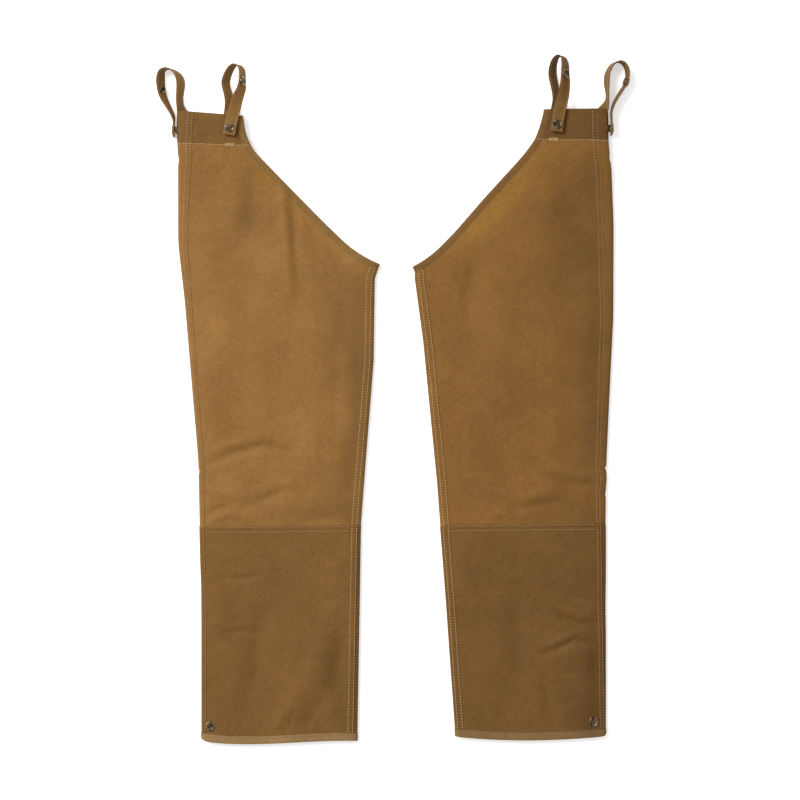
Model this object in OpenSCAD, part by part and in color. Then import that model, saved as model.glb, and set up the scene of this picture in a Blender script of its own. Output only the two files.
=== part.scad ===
// A pair of waxed-canvas leg chaps lying flat, front side up: two separate legs, each a
// tube of a front and a back panel, with two belt loops at the waist that snap shut.
// X runs across the pair, Y from the hems to the waist, Z up from the surface they lie on.
// The left leg here is the one on the -X side.

/* [Cloth] */
// Thickness of one canvas layer, with its felled seams evened out
cloth_t = 1.6; // [1.2:0.1:2]
// Thickness of the waist facings
facing_t = 1; // [0.8:0.1:1.2]
// Thickness of the folded and stitched belt-loop strap
strap_t = 2; // [1.6:0.1:2.4]
// Width of the belt-loop strap
strap_w = 20; // [18:0.5:21]
// Width of the bias binding on the slanted opening
binding_w = 10; // [8:0.5:12]
// Width of the binding round the hem
hem_w = 12.5; // [10:0.5:14]
// How much thicker than the panel a binding is
binding_extra = 1; // [0.6:0.1:1.4]

/* [Leg] */
// Clear height inside the flat leg
leg_gap = 8; // [7:0.5:9]
// Clear height inside the waistband, where the rear snap holds the side up
waist_gap = 14.8; // [14.4:0.1:16]
// Height of the line across the leg where the lower overlay begins
knee_y = -203; // [-215:1:-190]
// Gap between the solids on the two sides of the knee line
knee_gap = 0.4; // [0.3:0.1:1]
// Depth of the waist facings
facing_depth = 50; // [44:1:56]

/* [Snaps] */
// Radius of a snap cap
cap_r = 7.7; // [7:0.1:8]
// Height of a snap cap
cap_h = 1.8; // [1.4:0.1:2.2]
// Radius of a snap socket
socket_r = 6; // [5.5:0.1:6.5]
// Height of a snap socket
socket_h = 2.5; // [2.2:0.1:3]
// Radius of a stud's flange
stud_r = 5.5; // [5:0.1:6]
// Thickness of a stud's flange
flange_t = 0.8; // [0.6:0.1:1]
// Radius of a stud's head
head_r = 2.9; // [2.5:0.1:3.2]

/* [Hidden] */
LEFT = 0;
RIGHT = 1;
SIDES = [LEFT, RIGHT];
SIDE_NAMES = ["left", "right"];
PIECES = [
  "front_panel_thigh", "back_panel_thigh", "front_waist_facing", "back_waist_facing",
  "top_binding", "front_loop_strap", "rear_loop_strap", "front_stud", "front_stud_post",
  "rear_stud", "rear_stud_post", "front_tab_strap", "front_tab_end_cap",
  "front_tab_end_socket", "front_tab_upper_cap", "front_tab_upper_socket",
  "rear_tab_strap", "rear_tab_end_cap", "rear_tab_end_socket", "rear_tab_upper_cap",
  "rear_tab_upper_socket", "front_panel_shin", "shin_overlay", "back_panel_shin",
  "hem_binding", "hem_cap", "hem_socket", "hem_stud", "hem_stud_post"
];

canvas = "#92693A";
overlay_canvas = "#7B5A33";
band_canvas = "#80592F";
tape_canvas = "#8F7046";
antique_brass = "#6A5A44";

top_z = 60; // above everything, for slabs that are cut to a profile
clear = 0.3; // between pieces that come apart
seat = 0.15; // between a strap and what is clamped or laid on it
bent_seat = 0.7; // the same where the strap bends and twists
head_h = 2.3;
bore_r = 3.9; // inside a socket
tube_r = 1.6; // of a post through the cloth
$fn = 48;

// Heights of the layers
front_low = cloth_t + leg_gap; // underside of the front panel along the leg
front_high = cloth_t + waist_gap; // and at the waistband
ramp_low = 330;
ramp_high = 400;
side_z = 10.6; // middle of a strap that stands on its edge

// Outer fold of each leg, as [y, x] from hem to waist
fold = [
  [[-560, -306.5], [-350, -306.5], [-200, -310], [-100, -312], [158, -334], [250, -344.5],
   [395, -344.5], [412, -346], [470, -346]],
  [[-560, 340.5], [-200, 340.5], [-100, 342], [30, 348], [130, 353], [280, 353.5],
   [372, 350], [410, 345], [455, 345], [470, 342]]
];
// Inner edge from the hem to the crotch, then the slanted opening up to the waist, as [y, x]
inner = [
  [[-560, -58], [-210, -52], [-130, -46], [60, -31], [194, -29], [206, -24], [215.5, -21],
   [222, -37], [232, -54], [245, -72], [258, -86], [283, -112], [334, -162], [386, -213],
   [398, -224], [408, -229], [427, -237], [455, -241]],
  [[-560, 102], [-450, 94], [-322, 85], [-130, 70], [94, 48], [194, 34.5], [203, 33], [211, 31],
   [219, 46], [232, 64], [245, 78], [270, 102], [322, 147], [373, 194], [391, 210],
   [414, 227], [434, 235], [466, 243.5]]
];
crotch_y = [215.5, 211];
waist_outer = [[-346, 460], [342, 464.5]];
waist_inner = [[-241, 455], [243.5, 466]];
// Hem line from the outer fold to the inner edge
hem = [
  [[-306.5, -533], [-302, -543], [-290, -549], [-240, -552.5], [-58, -545]],
  [[340.5, -530], [336, -537], [322, -541.5], [219, -546.5], [101.7, -541.5]]
];
// How far the back panel wraps onto the front, as [y, width]
wrap_outer = [
  [[-560, 2.5], [-130, 4.5], [294, 10], [400, 13], [470, 16]],
  [[-560, 5], [-130, 12], [293, 19], [470, 16]]
];
wrap_inner = [[[-560, 8], [300, 6]], [[-560, 5], [300, 6.5]]];

// Snaps on the panels
front_snap = [[-261.5, 433], [261.5, 438]];
rear_snap_y = [430, 433];
hem_snap = [[-292, -523], [321, -516]];

// Where the strap's middle is once it is snapped: above the front stud, and out from the
// middle of the pair at the rear one
strap_half = strap_t / 2 + seat;
strap_rise = flange_t + clear + socket_h + strap_half;
front_strap_z = front_high + cloth_t + strap_rise;
rear_strap_x = [-346 - strap_rise, 345 + strap_rise];
sewn_z = front_high - facing_t - flange_t - strap_half; // of the front limb inside the waistband
back_z = cloth_t + facing_t + strap_half; // of the rear limb

// Belt loops: stations [x, y, z, lean], lean being the slope in degrees of the strap's
// width. Each loop is one strap: a limb sewn inside the waistband, then, from the station
// at the loop's top, the tab that snaps on outside.
front_loop = [
  [[-264.8, 411, sewn_z, 0], [-264.8, 430, sewn_z, 0], [-264.8, 448, sewn_z, 0],
   [-264.7, 461, sewn_z - 0.8, -4], [-264.5, 474, 12.8, -32], [-264.6, 487, 12.4, -48],
   [-267.5, 505, 12, -50], [-264, 519, 14, -54], [-258, 529, 16.5, -60], [-250, 533, 17, -66],
   [-242.6, 529, 17.5, -64], [-239.6, 519, 19.5, -60], [-239.8, 507, 21.8, -56],
   [-242, 495, 22.4, -46], [-247, 482, 22.7, -32], [-253, 462, 22.7, -12],
   [-258, 443, front_strap_z, 0], [-261.9, 422, front_strap_z, 0]],
  [[259.5, 416, sewn_z, 0], [259.5, 436, sewn_z, 0], [259.5, 454, sewn_z, 0],
   [259.4, 466, sewn_z - 0.8, -4], [259, 478, 12.8, -28], [258, 492, 12.4, -42],
   [254.5, 517, 12, -44], [256, 533, 14, -52], [261, 543.5, 16.5, -60], [268, 547.2, 17, -66],
   [274.8, 543, 17.5, -62], [277.6, 533, 19.5, -56], [277.6, 520, 21.8, -48],
   [276, 505, 22.4, -38], [272.5, 488, 22.7, -26], [268, 469, 22.7, -8],
   [263.5, 448, front_strap_z, 0], [260.6, 427, front_strap_z, 0]]
];
rear_loop = [
  [[-333, 412, back_z, 0], [-333, 430, back_z, 0], [-333.3, 446, 4.8, -4], [-335.5, 463, 9.6, -30],
   [-339, 484, 11, -55], [-339.7, 505, 11.2, -52], [-343.5, 517.5, 11, -60],
   [-351, 524.8, 10.8, -72], [-360, 527.4, 10.8, -80], [-368.3, 523.2, 10.8, -70],
   [-372.2, 512, 11, -58], [-370.9, 495, 11, -56], [-366.5, 482, 10.8, -66],
   [-360.5, 470, side_z, -80], [-354, 456, side_z, -88],
   [rear_strap_x[LEFT] - 0.4, 448, side_z, -90], [rear_strap_x[LEFT], 442, side_z, -90],
   [rear_strap_x[LEFT], 419, side_z, -90]],
  [[331, 416, back_z, 0], [331, 434, back_z, 0], [331, 450, 4.8, 4], [332.4, 467, 9.6, 34],
   [341.4, 486, 11, 66], [341.7, 508, 11.2, 64], [344, 523, 11, 70], [351.4, 535, 10.8, 78],
   [361.5, 539.3, 10.8, 82], [370.8, 535, 10.8, 80], [375.2, 524, 10.8, 78],
   [373.3, 507, 10.8, 78], [365.5, 493, side_z, 80], [355.5, 474, side_z, 84],
   [rear_strap_x[RIGHT] + 0.9, 459, side_z, 88], [rear_strap_x[RIGHT], 447, side_z, 90],
   [rear_strap_x[RIGHT], 422, side_z, 90]]
];
// Stations at the loops' tops, where the tabs bend, and under the upper snaps
front_top = 9;
rear_top = 8;
front_upper = 12;
rear_upper = 11;
steps = 3;

// ---- profiles and outlines

function fold_x(s, y) = lookup(y, fold[s]);
function inner_x(s, y) = lookup(y, inner[s]);
function inward(s) = s == LEFT ? 1 : -1; // from the outer fold towards the middle
function front_z(y) = lookup(y, [[ramp_low, front_low], [ramp_high, front_high]]);

// The heights of the tables' points between two heights, with both ends
function heights(s, low, high) = let (
    keys = concat([for (p = fold[s]) p[0]], [for (p = inner[s]) p[0]], [ramp_low, ramp_high])
  ) concat([low], ordered([for (y = keys) if (y > low && y < high) y]), [high]);
function ordered(list) = len(list) < 2 ? list : let (
    middle = list[floor(len(list) / 2)]
  ) concat(
    ordered([for (v = list) if (v < middle) v]), [middle], ordered([for (v = list) if (v > middle) v])
  );

// Left normals of a line of points, and the line moved sideways along them
function direction(line, i) = let (
    a = line[max(i - 1, 0)],
    b = line[min(i + 1, len(line) - 1)]
  ) (b - a) / norm(b - a);
function moved(line, width) = [
  for (i = [0:len(line) - 1]) line[i] + width * [-direction(line, i)[1], direction(line, i)[0]]
];
function reversed(line) = [for (i = [len(line) - 1:-1:0]) line[i]];

// Points of the slanted opening's edge, from the crotch to the waist
function opening(s) = concat(
  [for (p = inner[s]) if (p[0] >= crotch_y[s] && p[0] < waist_inner[s][1]) [p[1], p[0]]],
  [waist_inner[s]]
);
// The same edge where the panels stop and the binding begins
function opening_inside(s) = moved(opening(s), s == LEFT ? binding_w : -binding_w);
// The hem line and the line where the panels stop and its binding begins
function hem_inside(s) = let (line = moved(hem[s], s == LEFT ? hem_w : -hem_w), last = len(line) - 1) [
  for (i = [0:last]) i == 0 ? [fold_x(s, line[0][1]), line[0][1]]
    : i == last ? [inner_x(s, line[last][1]), line[last][1]]
    : line[i]
];

// Points along the outer fold and along the inner edge between two heights, each moved in
// by a width that may change with height
function outer_line(s, low, high, inset) = [
  for (y = heights(s, low, high)) [fold_x(s, y) + inward(s) * inset(y), y]
];
function inner_line(s, low, high, inset) = [
  for (y = heights(s, low, high)) [inner_x(s, y) - inward(s) * inset(y), y]
];

// The thigh's outline stops at the opening's binding, and the shin's at the hem's
module thigh_outline(s, outer_inset, inner_inset) {
  low = knee_y + knee_gap / 2;
  side = inner_line(s, low, opening_inside(s)[0][1] - 5, inner_inset);
  outer = outer_line(s, low, waist_outer[s][1], outer_inset);
  polygon(concat(outer, reversed(opening_inside(s)), reversed(side)));
}

module shin_outline(s, outer_inset, inner_inset) {
  high = knee_y - knee_gap / 2;
  line = hem_inside(s);
  last = len(line) - 1;
  outer = outer_line(s, line[0][1], high, outer_inset);
  side = inner_line(s, line[last][1], high, inner_inset);
  polygon(concat(outer, reversed(side), [for (i = [last - 1:-1:1]) line[i]]));
}

// A slab that follows the front panel's height, from low to high above its underside
module front_slab(low, high) {
  ys = [-600, ramp_low, ramp_high, 600];
  rotate([90, 0, 90])
    translate([0, 0, -450])
      linear_extrude(900)
        polygon(concat(
          [for (y = ys) [y, front_z(y) + low]], reversed([for (y = ys) [y, front_z(y) + high]])
        ));
}

// A flat strip beside the outer fold or the inner edge, from height low to high
module fold_strip(s, low, high, width) {
  polygon(concat(outer_line(s, low, high, function (y) 0), reversed(outer_line(s, low, high, width))));
}

module edge_strip(s, low, high, width) {
  polygon(concat(inner_line(s, low, high, function (y) 0), reversed(inner_line(s, low, high, width))));
}

function wrap_out(s) = function (y) lookup(y, wrap_outer[s]);
function wrap_in(s) = function (y) lookup(y, wrap_inner[s]);
function flat(width) = function (y) width;

// ---- the panels of a leg

// Everything of a shape that is between two heights over the front panel's underside
module on_front(low, high) {
  intersection() {
    linear_extrude(top_z) children();
    front_slab(low, high);
  }
}

// The back panel's plate, its two sides and the strips that it wraps onto the front
module wrapped_panel(s, outer_low, outer_high, inner_low, inner_high) {
  linear_extrude(cloth_t) children();
  intersection() {
    translate([0, 0, cloth_t]) linear_extrude(top_z) {
      fold_strip(s, outer_low, outer_high, flat(cloth_t));
      edge_strip(s, inner_low, inner_high, flat(cloth_t));
    }
    front_slab(-top_z, 0);
  }
  on_front(0, cloth_t) {
    fold_strip(s, outer_low, outer_high, wrap_out(s));
    edge_strip(s, inner_low, inner_high, wrap_in(s));
  }
}

module front_panel_thigh(s) {
  color(canvas)
    difference() {
      on_front(0, cloth_t) thigh_outline(s, wrap_out(s), wrap_in(s));
      post_hole(front_snap[s]);
    }
}

module back_panel_thigh(s) {
  low = knee_y + knee_gap / 2;
  color(canvas)
    difference() {
      wrapped_panel(s, low, waist_outer[s][1], low, opening_inside(s)[0][1] - 5)
        thigh_outline(s, flat(0), flat(0));
      at_rear_snap(s) cylinder(r = tube_r + 0.1, h = 8, center = true);
    }
}

module front_panel_shin(s) {
  color(canvas)
    difference() {
      on_front(0, cloth_t) shin_outline(s, wrap_out(s), wrap_in(s));
      post_hole(hem_snap[s]);
    }
}

module shin_overlay(s) {
  color(overlay_canvas)
    difference() {
      on_front(cloth_t, 2 * cloth_t) shin_outline(s, wrap_out(s), wrap_in(s));
      post_hole(hem_snap[s]);
    }
}

module back_panel_shin(s) {
  high = knee_y - knee_gap / 2;
  line = hem_inside(s);
  color(canvas)
    difference() {
      wrapped_panel(s, line[0][1], high, line[len(line) - 1][1], high)
        shin_outline(s, flat(0), flat(0));
      post_hole(hem_snap[s]);
      translate(hem_snap[s]) cylinder(r = stud_r, h = 2 * flange_t, center = true);
    }
}

// The facings line the waistband inside, front and back
module facing_outline(s, inset) {
  low = waist_outer[s][1] - facing_depth;
  intersection() {
    thigh_outline(s, inset, flat(0));
    translate([-500, low]) square([1000, 100]);
  }
}

module front_waist_facing(s) {
  color(band_canvas)
    difference() {
      on_front(-facing_t, 0) facing_outline(s, wrap_out(s));
      post_hole(front_snap[s]);
    }
}

module back_waist_facing(s) {
  color(band_canvas)
    translate([0, 0, cloth_t]) linear_extrude(facing_t) facing_outline(s, flat(cloth_t));
}

// One tape binds the front edge of the opening, turns at the crotch and binds the back edge
module top_binding(s) {
  tape = concat(opening(s), reversed(opening_inside(s)));
  turn = [for (i = [0:2]) opening(s)[i]];
  color(tape_canvas) {
    linear_extrude(cloth_t + binding_extra) polygon(tape);
    on_front(-binding_extra / 2, cloth_t + binding_extra / 2) polygon(tape);
    translate([0, 0, cloth_t + binding_extra])
      linear_extrude(leg_gap - 1.5 * binding_extra)
        polygon(concat(turn, reversed(moved(turn, s == LEFT ? cloth_t : -cloth_t))));
  }
}

// The hem's tape goes round the whole leg
module hem_binding(s) {
  tape = concat(hem[s], reversed(hem_inside(s)));
  low = front_low - binding_extra / 2;
  color(tape_canvas) {
    linear_extrude(cloth_t + binding_extra) polygon(tape);
    translate([0, 0, low]) linear_extrude(2 * cloth_t + binding_extra) polygon(tape);
    translate([0, 0, cloth_t + binding_extra])
      linear_extrude(low - cloth_t - binding_extra)
        intersection() {
          polygon(tape);
          union() {
            fold_strip(s, -560, -500, flat(cloth_t + 1));
            edge_strip(s, -560, -500, flat(cloth_t + 1));
          }
        }
  }
}

// ---- snap fasteners, drawn with the cloth's outer face at height 0

module post_hole(at) {
  translate([at[0], at[1], -1]) cylinder(r = tube_r + 0.1, h = top_z);
}

// A pressed cap: a low dome with a rolled rim and a shallow dish
module snap_cap() {
  color(antique_brass)
    rotate_extrude()
      difference() {
        union() {
          square([cap_r - 0.6, cap_h - 0.3]);
          translate([cap_r - 0.7, 0.7]) circle(r = 0.7);
          translate([cap_r - 0.7, 0]) square([0.5, 0.7]);
        }
        translate([0, cap_h + 2.4]) circle(r = 3);
        translate([-4, -1]) square([4, 9]);
      }
}

module snap_socket() {
  color(antique_brass)
    difference() {
      cylinder(r = socket_r, h = socket_h);
      translate([0, 0, -1]) cylinder(r = bore_r, h = socket_h + 0.6);
    }
}

module snap_stud() {
  color(antique_brass) {
    cylinder(r = stud_r, h = flange_t);
    translate([0, 0, flange_t]) cylinder(r = head_r - 0.4, h = head_h);
    translate([0, 0, flange_t + head_h - 1.2]) cylinder(r = head_r, h = 1.2);
  }
}

// The post clamps the cloth from inside: its flange, then its tube up through the layers
module stud_post(layers) {
  color(antique_brass)
    translate([0, 0, -layers - flange_t]) {
      cylinder(r = stud_r, h = flange_t);
      cylinder(r = tube_r, h = flange_t + layers);
    }
}

module at_front_snap(s) {
  translate([front_snap[s][0], front_snap[s][1], front_high + cloth_t]) children();
}

module at_rear_snap(s) {
  translate([fold_x(s, rear_snap_y[s]), rear_snap_y[s], side_z])
    rotate([0, -90 * inward(s), 0]) children();
}

module front_stud(s) { at_front_snap(s) snap_stud(); }
module front_stud_post(s) { at_front_snap(s) stud_post(cloth_t + facing_t); }
module rear_stud(s) { at_rear_snap(s) snap_stud(); }
module rear_stud_post(s) { at_rear_snap(s) stud_post(cloth_t); }

module at_hem_snap(s, height) {
  translate([hem_snap[s][0], hem_snap[s][1], height]) children();
}

module hem_cap(s) { at_hem_snap(s, front_low + 2 * cloth_t) snap_cap(); }
module hem_socket(s) { at_hem_snap(s, front_low - socket_h) snap_socket(); }
module hem_stud(s) { at_hem_snap(s, cloth_t) snap_stud(); }
module hem_stud_post(s) { at_hem_snap(s, cloth_t) stud_post(cloth_t - flange_t); }

// ---- belt-loop straps

function between(a, b, c, d, t) = 0.5 * (
  2 * b + (c - a) * t + (2 * a - 5 * b + 4 * c - d) * t * t + (3 * b - a - 3 * c + d) * t * t * t
);
// A smooth line through the stations, with some steps between each two
function along(stations) = let (last = len(stations) - 1) concat(
  [for (i = [0:last - 1], k = [0:steps - 1]) between(
    stations[max(i - 1, 0)], stations[i], stations[i + 1], stations[min(i + 2, last)], k / steps
  )],
  [stations[last]]
);
function place(p) = [p[0], p[1], p[2]];
function unit(v) = v / norm(v);
function heading(line, i) = unit(
  place(line[min(i + 1, len(line) - 1)]) - place(line[max(i - 1, 0)])
);
// The strap's width and its face at a point of the line
function across(line, i) = let (
    lean = [cos(line[i][3]), 0, sin(line[i][3])],
    ahead = heading(line, i)
  ) unit(lean - (lean * ahead) * ahead);
function facing(line, i) = cross(heading(line, i), across(line, i));

function strap_ring(line, i, trim) = let (
    middle = place(line[i]) + trim * heading(line, i),
    side = across(line, i) * strap_w / 2,
    face = facing(line, i) * strap_t / 2
  ) [middle + side + face, middle - side + face, middle - side - face, middle + side - face];

// The strap between two stations. The trims move its first and last sections along it.
module strap(stations, from, to, first_trim, last_trim) {
  line = along(stations);
  first = steps * from;
  last = steps * to;
  count = last - first;
  points = [
    for (i = [first:last])
      each strap_ring(line, i, i == first ? first_trim : i == last ? last_trim : 0)
  ];
  walls = [
    for (i = [0:count - 1], k = [0:3]) let (a = 4 * i + k, b = 4 * i + (k + 1) % 4)
      each [[b, a, b + 4], [b + 4, a, a + 4]]
  ];
  end = 4 * count;
  ends = [[0, 1, 2], [0, 2, 3], [end + 2, end + 1, end], [end + 3, end + 2, end]];
  color(canvas) polyhedron(points, concat(walls, ends));
}

// Stands children on a strap's face at a station: 1 for the face that heading and width
// give, -1 for the other
module on_strap(stations, station, side) {
  line = along(stations);
  i = steps * station;
  out = side * facing(line, i);
  wide = across(line, i);
  ahead = cross(out, wide);
  at = place(line[i]) + out * (strap_t / 2 + bent_seat);
  multmatrix([
    [wide[0], ahead[0], out[0], at[0]],
    [wide[1], ahead[1], out[1], at[1]],
    [wide[2], ahead[2], out[2], at[2]]
  ]) children();
}

// A socket hangs from the strap's inner face, so it is turned over
module hung_socket() { rotate([180, 0, 0]) translate([0, 0, -socket_h]) snap_socket(); }

function end_of(stations) = len(stations) - 1;

module front_loop_strap(s) { strap(front_loop[s], 0, front_top, 0, -clear / 2); }
module rear_loop_strap(s) { strap(rear_loop[s], 0, rear_top, 0, -clear / 2); }
module front_tab_strap(s) {
  strap(front_loop[s], front_top, end_of(front_loop[s]), clear / 2, 0);
}
module rear_tab_strap(s) {
  strap(rear_loop[s], rear_top, end_of(rear_loop[s]), clear / 2, 0);
}

module front_tab_end_cap(s) {
  at_front_snap(s) translate([0, 0, strap_rise + strap_half]) snap_cap();
}
module front_tab_end_socket(s) {
  at_front_snap(s) translate([0, 0, flange_t + clear]) snap_socket();
}
module rear_tab_end_cap(s) {
  at_rear_snap(s) translate([0, 0, strap_rise + strap_half]) snap_cap();
}
module rear_tab_end_socket(s) {
  at_rear_snap(s) translate([0, 0, flange_t + clear]) snap_socket();
}
module front_tab_upper_cap(s) { on_strap(front_loop[s], front_upper, 1) snap_cap(); }
module front_tab_upper_socket(s) { on_strap(front_loop[s], front_upper, -1) hung_socket(); }
module rear_tab_upper_cap(s) { on_strap(rear_loop[s], rear_upper, -1) snap_cap(); }
module rear_tab_upper_socket(s) { on_strap(rear_loop[s], rear_upper, 1) hung_socket(); }

for (s = SIDES) {
  name = SIDE_NAMES[s];
  front_panel_thigh(s);
  back_panel_thigh(s);
  front_waist_facing(s);
  back_waist_facing(s);
  top_binding(s);
  front_loop_strap(s);
  rear_loop_strap(s);
  front_stud(s);
  front_stud_post(s);
  rear_stud(s);
  rear_stud_post(s);
  front_tab_strap(s);
  front_tab_end_cap(s);
  front_tab_end_socket(s);
  front_tab_upper_cap(s);
  front_tab_upper_socket(s);
  rear_tab_strap(s);
  rear_tab_end_cap(s);
  rear_tab_end_socket(s);
  rear_tab_upper_cap(s);
  rear_tab_upper_socket(s);
  front_panel_shin(s);
  shin_overlay(s);
  back_panel_shin(s);
  hem_binding(s);
  hem_cap(s);
  hem_socket(s);
  hem_stud(s);
  hem_stud_post(s);
}
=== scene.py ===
"""A pair of waxed-canvas leg chaps lying flat, front side up, on a pale floor.

Lengths inside this file are millimetres in the row frame; make_mesh turns them into metres.
Each leg is a flat tube of canvas. Its outline, seam lines and levels are read from the CAD
nodes, and every layer, tape and stitch is laid on that one surface.
"""

import math
import random

import bmesh
import bpy
import numpy as np
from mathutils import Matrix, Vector


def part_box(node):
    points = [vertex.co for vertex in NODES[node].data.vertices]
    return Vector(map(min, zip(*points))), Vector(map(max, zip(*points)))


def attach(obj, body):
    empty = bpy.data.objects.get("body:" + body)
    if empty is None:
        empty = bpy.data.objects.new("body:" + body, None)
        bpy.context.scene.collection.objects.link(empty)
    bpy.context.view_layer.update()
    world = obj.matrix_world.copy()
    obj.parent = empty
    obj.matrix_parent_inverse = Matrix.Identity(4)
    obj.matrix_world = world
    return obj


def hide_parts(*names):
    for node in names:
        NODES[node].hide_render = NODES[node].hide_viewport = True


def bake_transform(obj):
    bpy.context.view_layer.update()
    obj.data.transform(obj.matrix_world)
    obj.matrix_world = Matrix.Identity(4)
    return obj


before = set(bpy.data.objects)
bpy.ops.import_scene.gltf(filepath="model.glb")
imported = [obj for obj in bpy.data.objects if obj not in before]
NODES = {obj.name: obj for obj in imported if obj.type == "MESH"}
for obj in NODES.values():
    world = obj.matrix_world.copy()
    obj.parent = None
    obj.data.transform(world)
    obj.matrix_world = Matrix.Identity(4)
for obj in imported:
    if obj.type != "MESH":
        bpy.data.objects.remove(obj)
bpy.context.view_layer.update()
METRES = 0.001
SIDES = ("left", "right")
FRONT, BACK = 1, -1

# Cloth
PLY = 1.1  # thickness of one canvas layer
FACING_PLY = 0.7
FOLD_R = 4.0  # how far from its edge a folded side turns over
SEAM_GAUGE = 7.7  # between the two stitch rows of a felled seam
TAPE_WIDTH = 10.0  # of the opening's tape
HEM_WIDTH = 12.5
STITCH, STITCH_GAP, THREAD_R = 2.6, 1.9, 0.5
CROTCH_RANGE = np.arange(150, 260, 0.5)  # heights between which the opening's tape turns

# ---- outlines from the CAD nodes


def corners(node):
    """A node's vertices in millimetres and its edges."""
    mesh = NODES[node].data
    points = np.empty(len(mesh.vertices) * 3)
    mesh.vertices.foreach_get("co", points)
    edges = np.empty(len(mesh.edges) * 2, int)
    mesh.edges.foreach_get("vertices", edges)
    return points.reshape(-1, 3) / METRES, edges.reshape(-1, 2)


def spans(nodes, values, along=1):
    """Lowest and highest x where the nodes are cut at each y, or y where cut at each x."""
    starts, ends = [], []
    for node in nodes:
        points, edges = corners(node)
        starts.append(points[edges[:, 0]])
        ends.append(points[edges[:, 1]])
    a, b = np.concatenate(starts), np.concatenate(ends)
    other = 1 - along
    result = []
    for value in values:
        low, high = a[:, along] - value, b[:, along] - value
        cut = (low * high <= 0) & (np.abs(low - high) > 1e-6)
        share = low[cut] / (low[cut] - high[cut])
        places = a[cut, other] + share * (b[cut, other] - a[cut, other])
        result.append((places.min(), places.max()) if len(places) else (np.nan, np.nan))
    return np.array(result)


def smoothed(values, spread):
    """A running average over a bell of that many samples, with both ends held."""
    reach = int(3 * spread)
    bell = np.exp(-0.5 * (np.arange(-reach, reach + 1) / spread) ** 2)
    first = 2 * values[0] - values[1 : reach + 1][::-1]
    last = 2 * values[-1] - values[-reach - 1 : -1][::-1]
    return np.convolve(np.concatenate([first, values, last]), bell / bell.sum(), "valid")


def step(t):
    t = np.clip(t, 0, 1)
    return t * t * (3 - 2 * t)


class Line:
    """A measured value along y, smoothed, with its first stretch carried on below."""

    def __init__(self, ys, values, spread):
        known = ~np.isnan(values)
        filled = smoothed(np.interp(ys, ys[known], values[known]), spread)
        slope = (filled[60] - filled[0]) / (ys[60] - ys[0])
        self.ys = np.concatenate([[ys[0] - 100], ys])
        self.values = np.concatenate([[filled[0] - 100 * slope], filled])

    def __call__(self, y):
        return np.interp(y, self.ys, self.values)


def extreme(box_of, axis, end):
    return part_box(box_of)[end][axis] / METRES


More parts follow.
